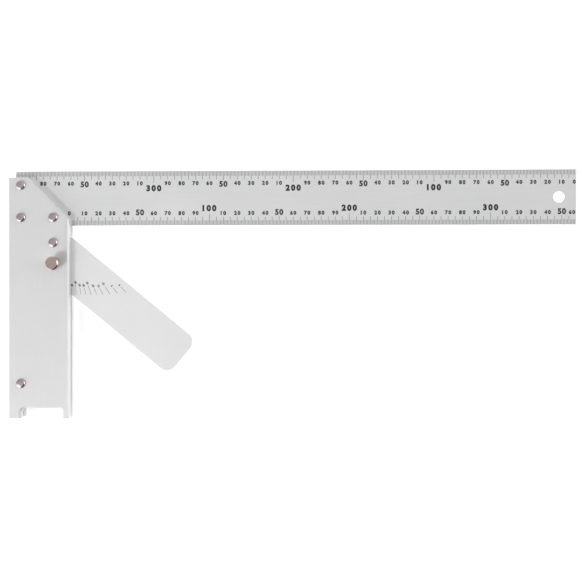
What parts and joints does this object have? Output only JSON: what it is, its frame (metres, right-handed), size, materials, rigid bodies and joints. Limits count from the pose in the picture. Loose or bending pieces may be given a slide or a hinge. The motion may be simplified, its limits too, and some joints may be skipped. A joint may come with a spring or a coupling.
{
  "type": "try and mitre square",
  "caption": "Carpenter's try square: slotted metal stock with a mitred top corner, long graduated blade with hanging hole, pivoting angle arm that folds into the stock and a lock screw.",
  "frame": {"origin": "the inner corner of the square: where the stock's working edge (X = 0) meets the line of the blade's lower edge (Y = 0), on the stock's back face (Z = 0)", "axes": "+X along the blade away from the stock, +Y up the stock towards its mitred end, +Z out of the front face, which has the lock screw; the square lies on its back"},
  "size_m": [0.403, 0.177, 0.0273],
  "materials": {
    "stock_aluminium": "satin anodised, with fine lengthwise extrusion lines",
    "blade_steel": "satin ground along its length, with black etched graduations",
    "arm_steel": "satin, with black etched angle marks",
    "rivet_nickel": "polished nickel plate",
    "screw_nickel": "polished nickel plate",
    "washer_nylon": "natural nylon",
    "pad_brass": "plain turned"
  },
  "bodies": {
    "square": {"stock": "stock_aluminium", "blade": "blade_steel", "blade_rivet_top": "rivet_nickel", "blade_rivet_outer": "rivet_nickel", "blade_rivet_inner": "rivet_nickel", "pivot_rivet": "rivet_nickel", "stop_rivet": "rivet_nickel", "washer_front": "washer_nylon", "washer_back": "washer_nylon"},
    "arm": {"protractor_arm": "arm_steel"},
    "pad": {"lock_pad": "pad_brass"},
    "lock": {"lock_screw": "screw_nickel"}
  },
  "joints": [
    {"name": "arm_swing", "type": "hinge", "parent": "square", "child": "arm", "pos_m": [-0.011, -0.0126, 0.0075], "axis": [0, 0, 1], "range_deg": [-50.6, 39.4]},
    {"name": "lock_travel", "type": "slide", "parent": "square", "child": "pad", "axis": [0, 0, 1], "range_m": [0, 0.0012]},
    {"name": "lock_turn", "type": "hinge", "parent": "pad", "child": "lock", "pos_m": [-0.0095, -0.0275, 0.0075], "axis": [0, 0, 1], "range_deg": [0, 540]}
  ],
  "couplings": [
    {"joint": "lock_turn", "follows": "lock_travel", "rad_per_m": 7854}
  ]
}
